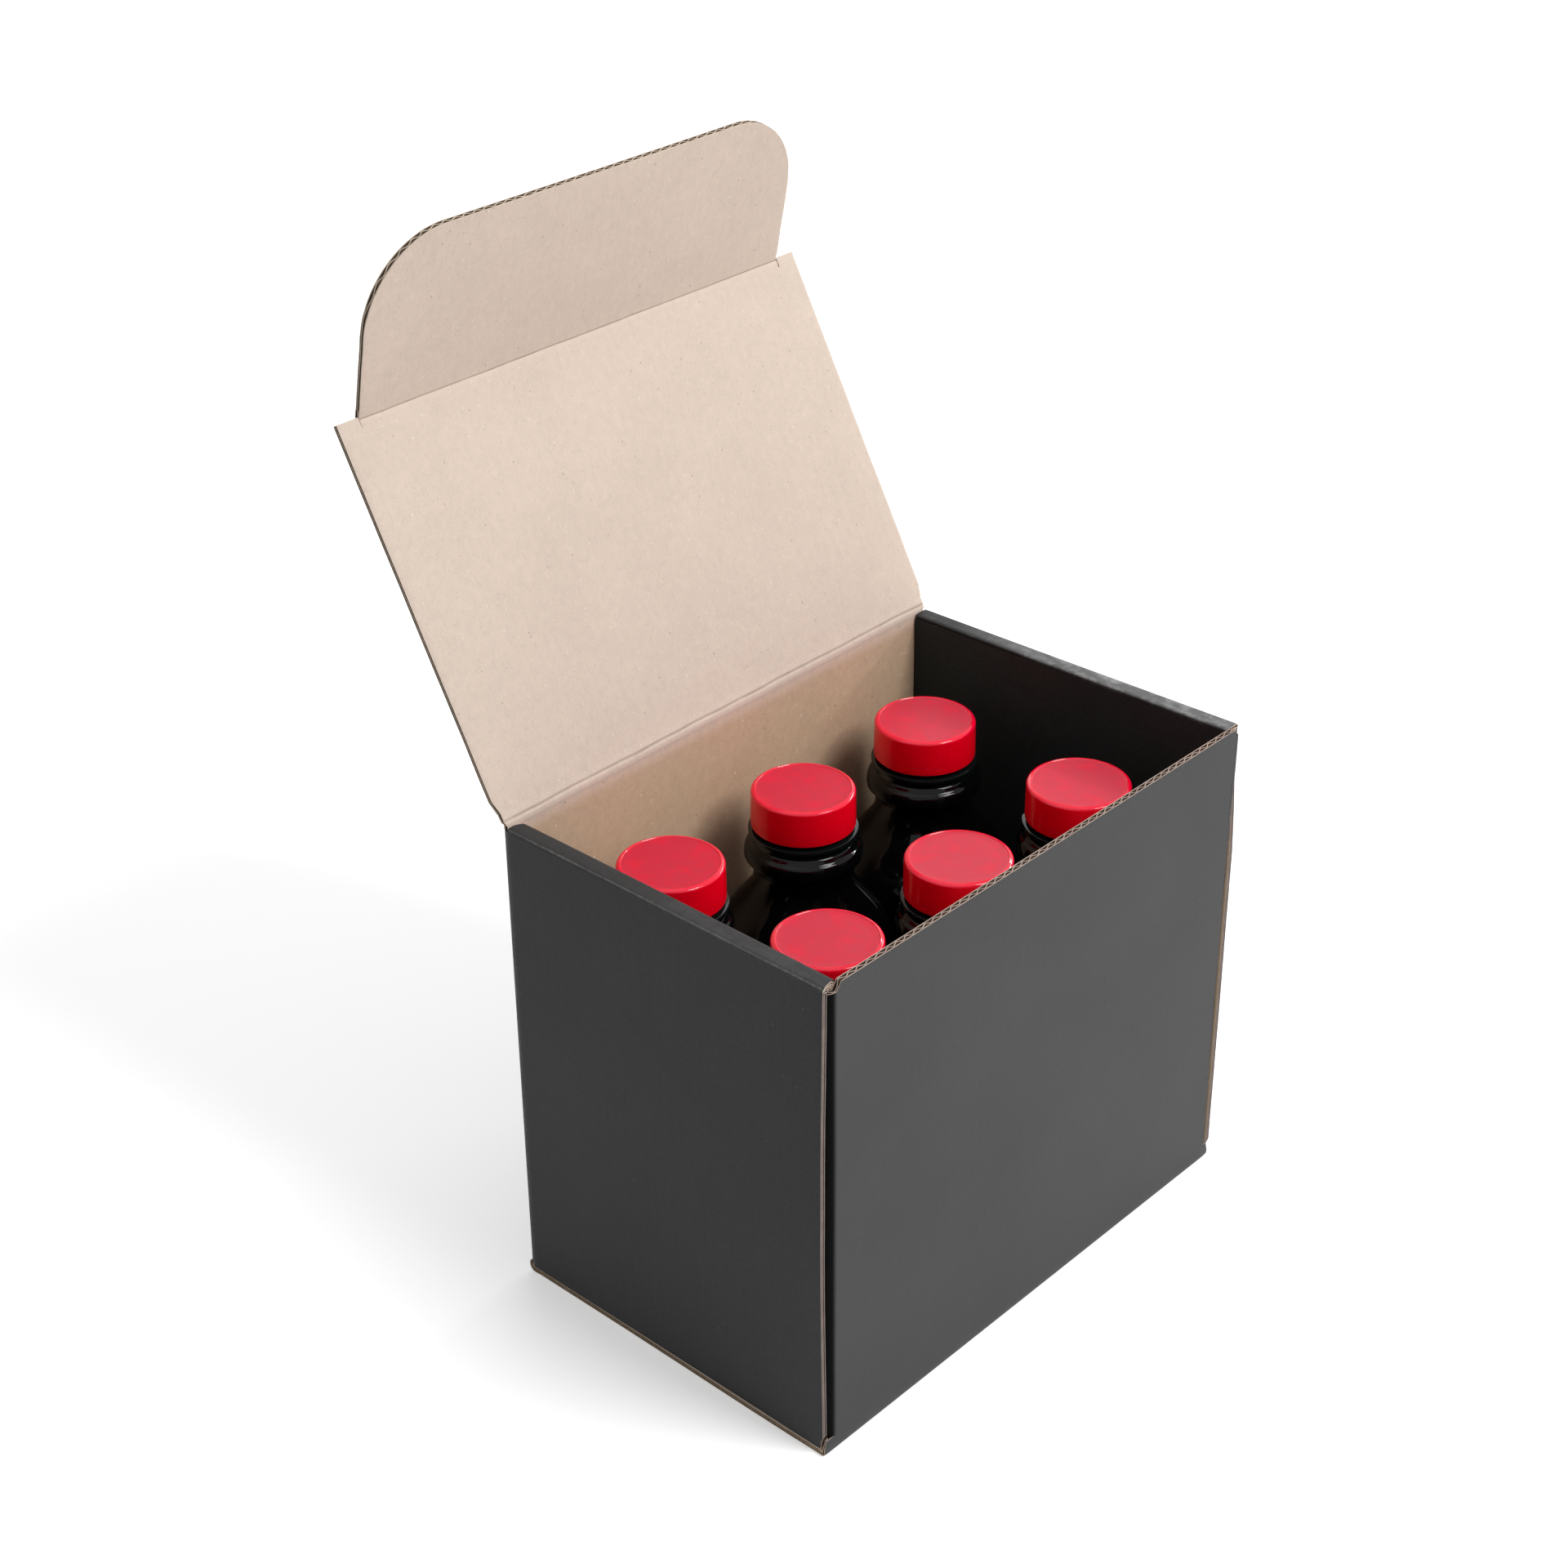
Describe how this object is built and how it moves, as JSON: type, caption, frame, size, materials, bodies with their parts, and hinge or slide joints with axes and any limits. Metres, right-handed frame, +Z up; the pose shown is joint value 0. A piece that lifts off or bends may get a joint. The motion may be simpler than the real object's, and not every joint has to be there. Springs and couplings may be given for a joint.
{
  "type": "bottle shipping box",
  "caption": "Corrugated mailer carton with a hinged lid and tuck flap, open, packed with capped bottles in two rows.",
  "frame": {"origin": "middle of the carton's underside, where it stands", "axes": "X along the front from left to right, -Y is the front, +Z up; the lid hinges at the back"},
  "size_m": [0.2444, 0.2348, 0.4123],
  "materials": {
    "board_outside": "matt black print on corrugated board",
    "board_inside": "bare kraft corrugated board, matt",
    "bottle": "clear plastic over a black drink, glossy",
    "cap": "smooth red plastic"
  },
  "bodies": {
    "carton": {"carton": "board_outside", "bottle_1": "bottle", "bottle_2": "bottle", "bottle_3": "bottle", "bottle_4": "bottle", "bottle_5": "bottle", "bottle_6": "bottle", "cap_1": "cap", "cap_2": "cap", "cap_3": "cap", "cap_4": "cap", "cap_5": "cap", "cap_6": "cap"},
    "lid": {"lid": "board_inside"},
    "tuck_flap": {"tuck_flap": "board_inside"}
  },
  "joints": [
    {"name": "lid_hinge", "type": "hinge", "parent": "carton", "child": "lid", "pos_m": [0, 0.0791, 0.2086], "axis": [1, 0, 0], "range_deg": [-61.3, 117.2]},
    {"name": "tuck_flap_fold", "type": "hinge", "parent": "lid", "child": "tuck_flap", "pos_m": [0, 0.15346, 0.34443], "axis": [1, 0, 0], "range_deg": [-40.2, 52.8]}
  ]
}
